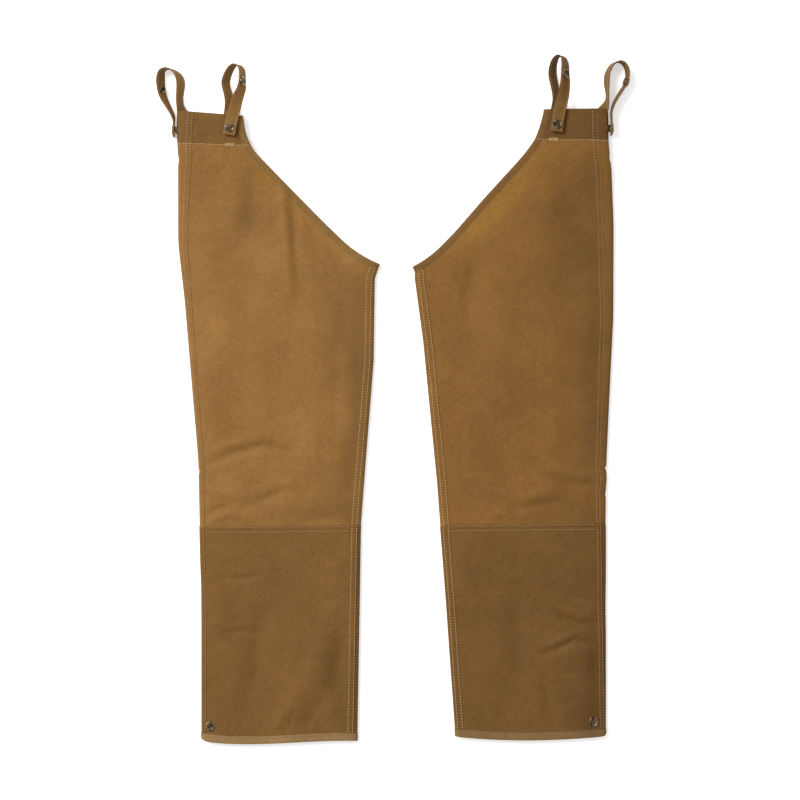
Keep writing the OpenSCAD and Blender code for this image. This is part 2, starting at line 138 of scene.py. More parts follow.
class Leg:
    """One leg's outline and the height and facing of its two faces."""

    def __init__(self, side, folds, painted_shade_and_tones, nicks, corner, knee_ends, band_slope, outer_seam):
        self.side = side
        self.inward = 1 if side == "left" else -1
        self.folds = folds
        self.painted_shade_and_tones = painted_shade_and_tones
        self.nicks = nicks
        self.corner = corner
        self.knee_ends = knee_ends
        self.band_slope = band_slope
        near, far = (0, 1) if side == "left" else (1, 0)

        def name(piece):
            return f"{side}_{piece}"

        self.hem_y = extreme(name("hem_binding"), 1, 0)
        self.waist_y = extreme(name("back_panel_thigh"), 1, 1)
        self.knee_y = extreme(name("front_panel_thigh"), 1, 0)
        self.front_level = extreme(name("front_panel_shin"), 2, 1)
        self.waist_level = extreme(name("front_panel_thigh"), 2, 1)
        panels = [name("back_panel_thigh"), name("back_panel_shin")]
        tape = name("top_binding")
        ends = spans([tape], CROTCH_RANGE)[:, far] * self.inward
        self.crotch_y = CROTCH_RANGE[np.nanargmax(ends)]

        ys = np.arange(self.hem_y + 37.5, self.waist_y - 5.5, 1.0)
        outer = spans(panels, ys)[:, near]
        reach = spans(panels + [tape], ys)[:, far]
        seam = spans([name("front_panel_thigh"), name("front_panel_shin")], ys)
        below, straight = ys <= self.crotch_y, ys < self.crotch_y - 30
        self.outer_line = Line(ys, outer, 9)
        # The inner edge up to the crotch, carried straight on above it
        self.inner_line = Line(ys[below], reach[below], 3)
        # The slanted edge of the opening, from the crotch to the waist
        self.open_x = Line(ys[~below], reach[~below], 5)
        # How far in from the outer fold and the inner edge the seams run
        # and how far the outer seam wanders from its course, with the gap between its rows
        at, wander, gauge = np.array(outer_seam, float).T
        wander = np.interp(ys, at, wander)
        self.seam_out = Line(ys, np.abs(seam[:, near] - outer) + np.maximum(wander, 0), 14)
        self.seam_over = Line(ys, np.minimum(wander, 0), 14)
        self.seam_gauge = Line(ys, np.interp(ys, at, gauge), 14)
        self.seam_in = Line(ys[straight], np.abs(seam[straight, far] - reach[straight]), 14)

        xs = np.linspace(*sorted((self.outer(self.waist_y), self.open_x(self.waist_y))), 9)[1:-1]
        tops = spans([name("front_panel_thigh"), name("back_panel_thigh"), tape], xs, 0)[:, 1]
        self.waist_line = np.polyfit(xs, tops, 1)
        hem_ends = [extreme(name("hem_binding"), 0, end) for end in (0, 1)]
        hem_xs = np.linspace(*hem_ends, 400)[34:-34]
        self.hem_curve = np.polyfit(hem_xs, spans([name("hem_binding")], hem_xs, 0)[:, 0], 3)
        self.band_y = extreme(name("front_waist_facing"), 1, 0) - 1.5

    def outer(self, y):
        """The outer fold, nicked where the cloth is pinched, and fuller where it is doubled."""
        nicks = sum(depth * np.exp(-(((y - at) / spread) ** 2)) for at, depth, spread in self.nicks)
        return self.outer_line(y) + self.inward * (nicks - 0.7 * step((self.knee_y - y) / 2))

    def body_x(self, y):
        return self.inner_line(y) + self.inward * 0.7 * step((self.knee_y - y) / 2)

    def hem_line(self, x):
        return np.polyval(self.hem_curve, x)

    def hem(self, x):
        """The cloth's lower edge, rounded up at the outer corner."""
        width, rise = self.corner
        near = 1 - np.clip((x - self.outer(self.hem_y + rise)) * self.inward / width, 0, 1)
        return self.hem_line(x) + rise * (1 - np.sqrt(1 - near**2))

    def band(self, x):
        """The stitch row across the waist, sloping a little towards the opening."""
        start, end = self.outer(self.band_y), self.open_x(self.band_y)
        share = (x - start) / (end - start)
        return self.band_y + self.band_slope * share + 0.4 * np.sin(7 * share)

    def waist(self, x):
        return np.polyval(self.waist_line, x)

    def share(self, x, y):
        """0 at the outer fold and 1 at the inner edge."""
        return (x - self.outer(y)) / (self.body_x(y) - self.outer(y))

    def height(self, x, y, face):
        """The outer face of the front (FRONT) or back (BACK) sheet."""
        d_out = np.maximum((x - self.outer(y)) * self.inward, 0)
        d_in = np.maximum((self.body_x(y) - x) * self.inward, 0)
        turn = 1.0
        for d in (d_out, d_in):
            turn = turn * np.sqrt(1 - (1 - np.clip(d / FOLD_R, 0, 1)) ** 2)
        level = self.front_level + (self.waist_level - self.front_level) * step((y - 320) / 90)
        middle = 0.46 * level
        free = np.maximum((self.open_x(y) - x) * self.inward, 0)
        if face == BACK:
            # The tapes lie underneath and lift the cloth
            clear = np.minimum(y - self.hem_line(x), np.where(y > self.crotch_y - 30, free, 99))
            return middle * (1 - turn) + 1.0 * step((42 - clear) / 25) * turn
        edge = np.exp(-d_out / 11) + np.exp(-d_in / 11)
        sag = np.where(y > self.crotch_y, 2.4 * np.exp(-free / 30), 0) * step((y - self.crotch_y) / 30)
        calm = step(np.minimum(d_out, d_in) / 24)
        relief = calm * self.relief(x, y)
        flat = level - 2.4 * np.minimum(edge, 1) - sag + relief
        return middle + (flat - middle) * turn

    def relief(self, x, y):
        """Soft folds, puckers and the unevenness of cloth, up and down from the flat sheet."""
        total = np.zeros(np.broadcast(x, y).shape)
        for points, rise, spread in self.folds:
            total += rise * along_fold(x, y, points, spread)
        band = step((y - self.waist_y + 62) / 20)
        ends = step((y - self.hem_y - 6) / 40)
        return total * (1 - 0.8 * band) * (0.25 + 0.75 * ends) + uneven(x, y)

    def surface(self, x, y, face):
        """Points on a face and the directions that it faces."""
        x, y = np.broadcast_arrays(np.asarray(x, float), np.asarray(y, float))
        gap = 0.05
        z = self.height(x, y, face)
        ahead = x + gap * np.where(self.share(x, y) < 0.5, self.inward, -self.inward)
        slope_x = (self.height(ahead, y, face) - z) / (ahead - x)
        slope_y = (self.height(x, y + gap, face) - z) / gap
        facing = np.stack([-slope_x, -slope_y, np.ones_like(z)], -1) * face
        return np.stack([x, y, z], -1), facing / np.linalg.norm(facing, axis=-1, keepdims=True)


def along_fold(x, y, points, spread):
    """1 on a line of points, falling off to its sides and towards its two ends."""
    best = np.zeros(np.broadcast(x, y).shape)
    lengths = [math.dist(a, b) for a, b in zip(points, points[1:])]
    run = 0.0
    for (a, b), length in zip(zip(points, points[1:]), lengths):
        ux, uy = (b[0] - a[0]) / length, (b[1] - a[1]) / length
        t = (x - a[0]) * ux + (y - a[1]) * uy
        side = (y - a[1]) * ux - (x - a[0]) * uy
        over = np.maximum(np.maximum(-t, t - length), 0)
        share = (run + np.clip(t, 0, length)) / sum(lengths)
        fade = np.sqrt(np.sin(np.pi * np.clip(0.08 + 0.84 * share, 0, 1)))
        best = np.maximum(best, fade * np.exp(-(side**2 + over**2) / (2 * spread**2)))
        run += length
    return best


def lumps(seed, count, low, high):
    """Waves in seeded directions, whose sum stands for the cloth's small unevenness."""
    chance = random.Random(seed)
    waves = []
    for _ in range(count):
        length, angle = chance.uniform(low, high), chance.uniform(0, math.pi)
        waves.append((2 * math.pi / length * math.cos(angle), 2 * math.pi / length * math.sin(angle),
                      chance.uniform(0, 2 * math.pi)))
    return waves


BROAD_LUMPS = lumps(11, 14, 90, 260)
FINE_LUMPS = lumps(12, 18, 16, 45)


def uneven(x, y):
    broad = sum(np.sin(kx * x + ky * y + phase) for kx, ky, phase in BROAD_LUMPS)
    fine = sum(np.sin(kx * x + ky * y + phase) for kx, ky, phase in FINE_LUMPS)
    return 0.2 * broad + 0.035 * fine


def painted_shade_and_tone_patch(x, y, reach_x, reach_y, shade, warmth=0.0):
    """A tone round one place, painted shade together with the wax's own patches, as the short upright or
    level line that covers its reach.
    """
    if reach_y > reach_x:
        half = round(0.7 * reach_y)
        return [(x, y + half), (x, y - half)], round(0.75 * reach_x), shade, warmth
    half = round(0.7 * reach_x)
    return [(x - half, y), (x + half, y)], max(4, round(0.75 * reach_y)), shade, warmth


# Folds as (points, rise, spread), tones as (points, spread, shade, warmth) and nicks
# in the outer edge as (y, depth, spread). A tone's shade is painted shade of the folds and of the
# light falling off across the legs, mixed with the wax's own patches; its warmth is the wax's own colour
LEFT_FOLDS = [
    ([(-221, 348), (-232, 300), (-243, 250)], -3.4, 12),
    ([(-176, 334), (-171, 290), (-166, 230), (-162, 170)], 3.4, 6.5),
    ([(-164, 326), (-160, 280), (-156, 210)], -2.9, 6),
    ([(-150, 292), (-136, 262), (-110, 238), (-94, 214)], 2.2, 3.6),
    ([(-142, 262), (-118, 230), (-100, 204)], -1.6, 4),
    ([(-99, 182), (-86, 120), (-84, -34)], -3.9, 13),
    ([(-265, 160), (-280, 40), (-288, -66)], 3.1, 20),
    ([(-206, 190), (-212, 60), (-200, -60)], 2.9, 22),
    ([(-296, -104), (-251, -86), (-206, -74), (-160, -84)], -2.9, 5),
    ([(-286, -84), (-240, -66), (-200, -62)], 2.2, 6),
    ([(-300, -141), (-278, -150), (-236, -156)], 2.1, 5),
    ([(-236, -172), (-210, -163), (-176, -145)], -3.0, 5.5),
    ([(-200, -140), (-160, -136)], 2.0, 6),
    ([(-299, -188), (-282, -176), (-262, -172)], -2.2, 3.6),
    ([(-292, -195), (-262, -183), (-226, -193)], 3.0, 3.8),
    ([(-108, -172), (-84, -184), (-64, -199)], 2.3, 4.5),
    ([(-120, -186), (-96, -196)], -1.7, 4.5),
    ([(-206, -340), (-222, -420), (-236, -500)], -3.4, 12),
    ([(-75, -372), (-98, -460), (-134, -520)], -3.4, 10),
    ([(-100, -340), (-128, -430), (-166, -506)], 2.9, 11),
    ([(-280, -286), (-240, -288), (-214, -281)], -2.2, 4),
    ([(-276, -376), (-240, -372), (-214, -376)], -2.2, 4),
    ([(-176, -500), (-186, -530)], 2.3, 3.4),
    ([(-158, -498), (-168, -530)], -2.0, 3.4),
    ([(-120, -508), (-130, -530)], 2.0, 3.4),
    ([(-286, -520), (-262, -532)], 1.7, 4),
]
RIGHT_FOLDS = [
    ([(135, 236), (124, 190), (122, 90)], -2.5, 12),
    ([(171, 250), (176, 120), (184, -34)], 2.6, 22),
    ([(282, 330), (262, 270), (290, 214)], -2.9, 16),
    ([(275, 110), (283, -60), (282, -150)], -2.6, 14),
    ([(92, 204), (102, 178), (110, 140)], 1.6, 5),
    ([(248, -122), (280, -134), (318, -137)], -2.6, 5),
    ([(240, -112), (286, -120), (322, -128)], 2.0, 5),
    ([(196, -176), (226, -172), (262, -164), (290, -176)], -2.9, 5),
    ([(210, -160), (250, -150)], 1.8, 6),
    ([(150, -196), (168, -184), (190, -192)], 1.6, 5),
    ([(262, -296), (290, -318), (320, -326)], -2.1, 5),
    ([(270, -346), (296, -362), (326, -358)], -3.1, 4.5),
    ([(262, -334), (296, -348)], 2.1, 5),
    ([(240, -408), (262, -400), (290, -386), (318, -392)], -3.1, 4.5),
    ([(244, -396), (272, -384), (296, -374)], 2.3, 4.5),
    ([(240, -440), (250, -490), (262, -520)], -2.3, 8),
    ([(134, -470), (166, -506), (186, -524)], 2.0, 4),
    ([(198, -300), (200, -400), (188, -500)], -2.3, 14),
]
# Left leg: painted shade of its folds and edges, with the wax's own patches and warm colour
LEFT_PAINTED_SHADE_AND_TONES = [
    ([(-50, 200), (-56, 50), (-64, -60), (-76, -190)], 13, -0.5, 0.0),
    ([(-300, 410), (-290, 290)], 30, -0.2, 0.0),
    ([(-228, 410), (-222, 280)], 26, -0.26, 0.0),
    ([(-112, 226), (-78, 190), (-76, 130)], 14, -0.25, 0.0),
    ([(-206, -182), (-70, -180)], 11, -0.34, 0.0),
    ([(-296, -246), (-290, -410)], 14, 0.22, 0.0),
    ([(-94, -450), (-84, -526)], 11, -0.3, 0.0),
    ([(-226, 396), (-206, 364), (-176, 336)], 15, 0.06, 0.8),
    ([(-150, 300), (-112, 256), (-70, 232)], 12, 0.06, 0.35),
    painted_shade_and_tone_patch(-231, 292, 14, 34, -0.34),
    painted_shade_and_tone_patch(-160, 290, 8, 34, -0.28, 0.1),
    painted_shade_and_tone_patch(-162, 180, 12, 70, -0.24, 0.2),
    painted_shade_and_tone_patch(-87, 130, 13, 60, -0.26),
    painted_shade_and_tone_patch(-206, 160, 34, 60, 0.12, 0.1),
    painted_shade_and_tone_patch(-292, 150, 24, 70, 0.1),
    painted_shade_and_tone_patch(-274, 340, 30, 60, 0.06, 0.3),
    painted_shade_and_tone_patch(-96, -130, 30, 60, -0.22, 0.1),
    painted_shade_and_tone_patch(-240, -96, 40, 20, 0.1, 0.2),
    painted_shade_and_tone_patch(-205, -158, 26, 8, -0.2),
    painted_shade_and_tone_patch(-250, -80, 30, 6, -0.2),
    painted_shade_and_tone_patch(-187, -281, 34, 40, -0.14),
    painted_shade_and_tone_patch(-225, -420, 13, 50, -0.26),
    painted_shade_and_tone_patch(-262, -516, 30, 22, -0.18),
    painted_shade_and_tone_patch(-93, -425, 14, 46, -0.3),
    painted_shade_and_tone_patch(-134, -513, 28, 16, -0.22),
    painted_shade_and_tone_patch(-180, -451, 22, 50, 0.12),
    painted_shade_and_tone_patch(-280, -249, 30, 30, 0.12),
    painted_shade_and_tone_patch(-110, -300, 24, 60, 0.1, 0.2),
    ([(-68, 112), (-68, 16)], 13, -0.26, 0.0),
    ([(-116, 206), (-116, 142)], 16, -0.24, 0.0),
    ([(-228, 302), (-228, 270)], 12, -0.24, 0.0),
]
# Right leg: painted shade of its folds and of its side farther from the light, with the wax's own patches
# and warm colour
RIGHT_PAINTED_SHADE_AND_TONES = [
    ([(258, 424), (276, 330), (266, 200)], 24, -0.28, 0.0),
    ([(276, -500), (322, -534)], 20, -0.36, 0.0),
    ([(316, -360), (320, -530)], 12, -0.24, 0.0),
    ([(226, -186), (318, -186)], 11, -0.22, 0.0),
    ([(92, -226), (102, -320)], 11, 0.22, 0.0),
    ([(262, 404), (226, 384), (196, 340)], 15, 0.04, 0.6),
    ([(196, 340), (150, 290), (108, 250)], 16, 0.08, 0.9),
    painted_shade_and_tone_patch(306, 350, 20, 40, -0.3),
    painted_shade_and_tone_patch(272, 286, 26, 40, -0.3),
    painted_shade_and_tone_patch(302, 226, 26, 40, -0.3),
    painted_shade_and_tone_patch(300, 60, 26, 120, -0.2),
    painted_shade_and_tone_patch(262, 170, 24, 60, -0.14),
    painted_shade_and_tone_patch(124, 190, 10, 34, -0.24),
    painted_shade_and_tone_patch(226, 40, 26, 120, -0.08),
    painted_shade_and_tone_patch(256, -168, 40, 12, -0.16),
    painted_shade_and_tone_patch(300, -134, 30, 8, -0.14),
    painted_shade_and_tone_patch(310, -440, 22, 90, -0.26),
    painted_shade_and_tone_patch(300, -300, 26, 60, -0.16),
    painted_shade_and_tone_patch(196, -360, 16, 90, -0.14),
    painted_shade_and_tone_patch(150, -260, 40, 50, 0.08, 0.1),
    painted_shade_and_tone_patch(255, -460, 18, 60, 0.08),
    ([(322, 420), (326, 250), (326, 60), (318, -190)], 13, -0.42, 0.0),
    ([(292, 330), (300, 60), (296, -160)], 20, -0.22, 0.0),
    ([(322, -220), (322, -540)], 10, -0.22, 0.0),
    ([(91, -241), (91, -305)], 12, 0.2, 0.0),
]
LEGS = {
    "left": Leg(
        "left", LEFT_FOLDS, LEFT_PAINTED_SHADE_AND_TONES, nicks=[(383, 1.4, 6), (-116, 1.6, 3), (-300, 0.6, 30)],
        corner=(11, 7), knee_ends=(-1.5, 1), band_slope=-3.2,
        outer_seam=[(-540, 0, 4.8), (-200, -1.5, 5), (125, -3.1, 5), (300, -1, 6.2), (455, 2.8, 7.9)],
    ),
    "right": Leg(
        "right", RIGHT_FOLDS, RIGHT_PAINTED_SHADE_AND_TONES,
        nicks=[(385, 1.5, 6), (-111, 2.4, 2.6), (-128, -0.8, 9), (-152, 0.9, 5), (-330, 0.6, 30)],
        corner=(8, 4), knee_ends=(4, 1), band_slope=2.4,
        outer_seam=[(-540, -1.5, 6), (-200, -1.5, 5.4), (125, -1.7, 6.4), (300, 0, 7), (455, 1.6, 8)],
    ),
}

# ---- meshes


def make_mesh(name, points, faces, material, smooth_angle=40):
    """An object from points in millimetres, with edges sharper than the angle kept."""
    mesh = bpy.data.meshes.new(name)
    mesh.from_pydata((np.asarray(points).reshape(-1, 3) * METRES).tolist(), [], faces)
    mesh.validate()
    mesh.polygons.foreach_set("use_smooth", [True] * len(mesh.polygons))
    mesh.set_sharp_from_angle(angle=math.radians(smooth_angle))
    mesh.materials.append(material)
    piece = bpy.data.objects.new(name, mesh)
    bpy.context.scene.collection.objects.link(piece)
    return piece


def quads(rows, columns, closed=False, start=0, flip=False):
    """The faces of a grid of points, whose columns may close on themselves."""
    span = columns if closed else columns - 1
    result = []
    for i in range(rows - 1):
        for j in range(span):
            k = (j + 1) % columns
            face = [start + i * columns + j, start + i * columns + k,
                    start + (i + 1) * columns + k, start + (i + 1) * columns + j]
            result.append(face[::-1] if flip else face)
    return result


def layer(name, points, facing, thickness, material, closed=False, flip=False):
    """A sheet of cloth from a grid of points on its outer face, with its edges closed."""
    rows, columns = points.shape[:2]
    under = points - facing * thickness
    count = rows * columns
    faces = quads(rows, columns, closed, 0, flip) + quads(rows, columns, closed, count, not flip)
    rims = [[j for j in range(columns)], [(rows - 1) * columns + j for j in range(columns)][::-1]]
    if closed:
        rims = [rim + rim[:1] for rim in rims]
    else:
        rims.append([i * columns for i in range(rows)][::-1])
        rims.append([i * columns + columns - 1 for i in range(rows)])
    for rim in rims:
        for a, b in zip(rim, rim[1:]):
            face = [b, a, a + count, b + count]
            faces.append(face[::-1] if flip else face)
    return make_mesh(name, np.concatenate([points.reshape(-1, 3), under.reshape(-1, 3)]), faces, material)


def swept(name, rings, material, closed=False, flip=False):
    """A solid through closed rings of points, capped at its ends unless they meet."""
    count, size = rings.shape[:2]
    faces = quads(count, size, True, 0, flip)
    if closed:
        last = (count - 1) * size
        for j in range(size):
            k = (j + 1) % size
            face = [last + j, last + k, k, j]
            faces.append(face[::-1] if flip else face)
    else:
        first, end = list(range(size))[::-1], list(range((count - 1) * size, count * size))
        faces += [first[::-1], end[::-1]] if flip else [first, end]
    return make_mesh(name, rings, faces, material)


# ---- materials


def srgb(red, green, blue):
    """A colour as sRGB bytes, turned into the linear values that a shader takes."""
    parts = []
    for byte in (red, green, blue):
        value = byte / 255
        parts.append(value / 12.92 if value <= 0.04045 else ((value + 0.055) / 1.055) ** 2.4)
    return (*parts, 1.0)


class Graph:
    """A material's nodes, with short calls to add and join them."""

    def __init__(self, name):
        self.material = bpy.data.materials.new(name)
        self.material.use_nodes = True
        self.nodes = self.material.node_tree.nodes
        self.shader = self.nodes["Principled BSDF"]
        self.place = self.add("ShaderNodeTexCoord").outputs["Object"]

    def add(self, kind, **settings):
        node = self.nodes.new(kind)
        for key, value in settings.items():
            setattr(node, key, value)
        return node

    def join(self, source, target):
        self.material.node_tree.links.new(source, target)

    def noise(self, scale, detail=3.0, roughness=0.55, stretch=(1, 1, 1)):
        node = self.add("ShaderNodeTexNoise")
        node.inputs["Scale"].default_value = scale
        node.inputs["Detail"].default_value = detail
        node.inputs["Roughness"].default_value = roughness
        scaled = self.add("ShaderNodeMapping")
        scaled.inputs["Scale"].default_value = stretch
        self.join(self.place, scaled.inputs["Vector"])
        self.join(scaled.outputs["Vector"], node.inputs["Vector"])
        return node.outputs["Fac"]

    def ranged(self, source, low, high, start=0.0, end=1.0):
        node = self.add("ShaderNodeMapRange")
        node.inputs["From Min"].default_value = start
        node.inputs["From Max"].default_value = end
        node.inputs["To Min"].default_value = low
        node.inputs["To Max"].default_value = high
        self.join(source, node.inputs["Value"])
        return node.outputs["Result"]

    def maths(self, operation, a, b):
        node = self.add("ShaderNodeMath", operation=operation)
        for source, target in ((a, node.inputs[0]), (b, node.inputs[1])):
            if isinstance(source, (int, float)):
                target.default_value = source
            else:
                self.join(source, target)
        return node.outputs[0]

    def mixed(self, share, a, b):
        node = self.add("ShaderNodeMix", data_type="RGBA")
        self.join(share, node.inputs[0])
        for source, target in ((a, node.inputs[6]), (b, node.inputs[7])):
            if isinstance(source, tuple):
                target.default_value = source
            else:
                self.join(source, target)
        return node.outputs[2]

    def attribute(self, name):
        return self.add("ShaderNodeAttribute", attribute_name=name).outputs["Fac"]

    def wave(self, direction, period):
        node = self.add("ShaderNodeTexWave", bands_direction=direction)
        node.inputs["Scale"].default_value = 2 * math.pi / (20 * period * METRES)
        node.inputs["Distortion"].default_value = 0.6
        node.inputs["Detail"].default_value = 1.0
        node.inputs["Detail Scale"].default_value = 0.6
        self.join(self.place, node.inputs["Vector"])
        return node.outputs["Fac"]

    def bump(self, height, depth, strength, under=None):
        node = self.add("ShaderNodeBump")
        node.inputs["Distance"].default_value = depth * METRES
        node.inputs["Strength"].default_value = strength
        self.join(height, node.inputs["Height"])
        if under:
            self.join(under, node.inputs["Normal"])
        return node.outputs["Normal"]


def canvas(name, base, dark, warm, period=0.55):
    """Waxed canvas: mottled colour, slubs, a plain weave and the dents of handled wax."""
    g = Graph(name)
    cloud = g.ranged(g.noise(9, 4, 0.5), 0.0, 1.0, 0.3, 0.7)
    colour = g.mixed(cloud, base, dark)
    colour = g.mixed(g.attribute("warm"), colour, warm)
    slubs_up = g.noise(1, 3, 0.6, (1500, 120, 1500))
    slubs_across = g.noise(1, 3, 0.6, (120, 1500, 1500))
    slubs = g.ranged(g.maths("ADD", slubs_up, slubs_across), 0.82, 1.18, 0.7, 1.3)
    specks = g.ranged(g.noise(300, 4, 0.75), 0.86, 1.14, 0.3, 0.7)
    patches = g.maths("MULTIPLY", g.ranged(g.noise(28, 3), 0.94, 1.06, 0.3, 0.7),
                      g.ranged(g.noise(90, 3), 0.97, 1.03, 0.3, 0.7))
    threads = g.maths("MULTIPLY", g.wave("X", period), g.wave("Y", period))
    # Brightness from the points' painted shade, which stands in for folds and the light's falloff, mixed
    # with the wax's own patches
    painted_shade_and_tone = g.ranged(g.attribute("painted_shade_and_tone"), 0.5, 1.5, -1.0, 1.0)
    value = g.maths("MULTIPLY", g.maths("MULTIPLY", slubs, specks), g.maths("MULTIPLY", patches, painted_shade_and_tone))
    value = g.maths("MULTIPLY", value, g.ranged(threads, 0.93, 1.05))
    shade = g.add("ShaderNodeHueSaturation")
    g.join(colour, shade.inputs["Color"])
    g.join(value, shade.inputs["Value"])
    g.join(shade.outputs["Color"], g.shader.inputs["Base Color"])
    g.join(g.ranged(g.noise(35, 4), 0.52, 0.74, 0.3, 0.7), g.shader.inputs["Roughness"])
    dents = g.bump(g.noise(26, 4, 0.5), 2.2, 0.22)
    creases = g.bump(g.noise(150, 4, 0.6), 0.5, 0.3, dents)
    g.join(g.bump(threads, 0.12, 0.6, creases), g.shader.inputs["Normal"])
    g.shader.inputs["Specular IOR Level"].default_value = 0.1
    return g.material


def thread_material(name, base, dark):
    g = Graph(name)
    g.join(g.mixed(g.ranged(g.noise(220, 3), 0, 1, 0.35, 0.65), base, dark), g.shader.inputs["Base Color"])
    g.join(g.bump(g.noise(1, 2, 0.5, (4000, 4000, 4000)), 0.08, 0.6), g.shader.inputs["Normal"])
    g.shader.inputs["Roughness"].default_value = 0.6
    g.shader.inputs["Sheen Weight"].default_value = 0.2
    return g.material


def brass_material(name, bright, patina, spread, rough):
    """Antiqued brass: a dark patina, worn through to the metal in patches."""
    g = Graph(name)
    worn = g.ranged(g.noise(190, 4, 0.55), 0, 1, *spread)
    g.join(g.mixed(worn, patina, bright), g.shader.inputs["Base Color"])
    g.join(g.ranged(worn, rough[0], rough[1]), g.shader.inputs["Roughness"])
    g.join(g.bump(g.noise(900, 3), 0.05, 0.4), g.shader.inputs["Normal"])
    g.shader.inputs["Metallic"].default_value = 0.92
    return g.material


def lit_and_shaded_cloths(name, left, right, period=0.55):
    """One kind of cloth for each leg, from its base, dark and warm colours. The right leg's colours are
    darker, a painted shade for the leg that lies farther from the light.
    """
    return {
        side: canvas(f"{name}_{side}", *(srgb(*colour) for colour in colours), period=period)
        for side, colours in zip(SIDES, (left, right))
    }


# The right leg's colours are darker than the left's: painted shade of the leg farther from the light
CLOTH = lit_and_shaded_cloths("canvas", ((139, 100, 52), (129, 92, 47), (141, 102, 45)),
               ((127, 89, 43), (118, 82, 39), (137, 98, 42)))
OVERLAY = lit_and_shaded_cloths("overlay", ((117, 83, 41), (109, 77, 38), (122, 87, 42)),
                 ((110, 77, 38), (103, 72, 35), (115, 81, 39)))
BAND = lit_and_shaded_cloths("band", ((117, 83, 41), (109, 77, 38), (122, 87, 42)),
              ((100, 70, 34), (93, 65, 31), (105, 74, 36)))
TAPE = lit_and_shaded_cloths("binding", ((125, 93, 49), (116, 86, 45), (130, 97, 52)),
              ((114, 81, 42), (106, 75, 38), (119, 85, 44)), period=0.5)
HEM_TAPE = lit_and_shaded_cloths("hem", ((142, 113, 74), (132, 104, 67), (146, 117, 77)),
                  ((127, 99, 62), (118, 91, 56), (131, 103, 65)), period=0.5)
STRAP = lit_and_shaded_cloths("strap", ((134, 98, 52), (122, 89, 46), (138, 101, 53)),
               ((114, 82, 42), (105, 75, 38), (118, 85, 43)), period=0.5)
THREAD = thread_material("thread", srgb(204, 174, 124), srgb(184, 153, 104))
DULL_THREAD = thread_material("dull_thread", srgb(172, 138, 88), srgb(154, 121, 74))
DARK_THREAD = thread_material("dark_thread", srgb(134, 101, 56), srgb(112, 83, 44))
RIM = brass_material("worn_brass", srgb(156, 136, 106), srgb(62, 50, 38), (0.42, 0.6), (0.42, 0.26))
DISH = brass_material("dark_brass", srgb(112, 94, 70), srgb(42, 35, 28), (0.42, 0.66), (0.5, 0.34))

# ---- the cloth of a leg: columns run from the hem up, numbered 0 at the outer fold, 1 where
# the fold has turned over, 2 and 3 at the seams, 4 where the inner fold begins and 5 at it

STRETCHES = (110, 168, 22)  # rows of points up to the knee line, the waist's stitches and the top
TURN = [1 - math.cos(math.radians(a)) for a in range(0, 91, 15)]
ACROSS = list(np.linspace(2, 3, 94))
AROUND = (
    [(c, FRONT) for c in (2, 1.5)] + [(c, FRONT) for c in TURN[::-1]]
    + [(c, BACK) for c in TURN[1:]] + [(1.5, BACK)] + [(c, BACK) for c in ACROSS]
    + [(3.5, BACK)] + [(5 - c, BACK) for c in TURN[::-1]]
    + [(5 - c, FRONT) for c in TURN[1:]] + [(c, FRONT) for c in (3.5, 3)]
)


def column_x(leg, c, y):
    seam_out, seam_in = leg.seam_out(y), leg.seam_in(y)
    outer, inner = leg.outer(y), leg.body_x(y)
    knots = [
        outer,
        outer + leg.inward * np.minimum(FOLD_R, 0.8 * seam_out),
        outer + leg.inward * seam_out,
        inner - leg.inward * seam_in,
        inner - leg.inward * np.minimum(FOLD_R, 0.8 * seam_in),
        inner,
    ]
    first = min(int(c), 4)
    return knots[first] + (c - first) * (knots[first + 1] - knots[first])


def column_ends(leg, c):
    """The heights where a column starts at the hem and stops at the opening or the waist."""
    low = leg.hem_y
    for _ in range(6):
        low = float(leg.hem(column_x(leg, c, low)))
    bottom, top = leg.crotch_y - 0.5, leg.waist_y + 12
    for _ in range(40):
        middle = (bottom + top) / 2
        x = column_x(leg, c, middle)
        inside = (leg.open_x(middle) - x) * leg.inward > 0 or middle <= leg.crotch_y
        if inside and middle < leg.waist(x):
            bottom = middle
        else:
            top = middle
    return low, bottom


def knee_line(leg, c):
    """The overlay's top edge, which rises a little towards +X."""
    outer, inner = leg.knee_ends
    return leg.knee_y + outer + (inner - outer) * np.clip(c - 2, -0.3, 1.3)


def full_column(leg, c):
    """The heights of a column's points, one of them on the knee line and one on the waist's stitches."""
    first, last = column_ends(leg, c)
    band = min(float(leg.band(column_x(leg, c, leg.band_y))), last - 3)
    stops = (first, float(knee_line(leg, c)), band, last)
    stretches = [
        np.linspace(start, end, count, endpoint=False)
        for start, end, count in zip(stops, stops[1:], STRETCHES)
    ]
    return np.concatenate(stretches + [[last]])


def shin_column(leg, c):
    return np.linspace(column_ends(leg, c)[0], knee_line(leg, c), STRETCHES[0] + 1)


def cloth_grid(leg, columns, heights=full_column):
    """Points and facings of a stretch of the leg, its columns given as (number, face)."""
    points, facings = [], []
    for c, face in columns:
        y = heights(leg, c)
        spots, facing = leg.surface(column_x(leg, c, y), y, face)
        points.append(spots)
        facings.append(facing)
    return np.stack(points, 1), np.stack(facings, 1)


def other_cloth(piece, rows, columns, chosen, material):
    """Gives the faces of some rows of a grid another cloth."""
    piece.data.materials.append(material)
    index = len(piece.data.materials) - 1
    for polygon in piece.data.polygons:
        if min(vertex % (rows * columns) for vertex in polygon.vertices) // columns in chosen:
            polygon.material_index = index


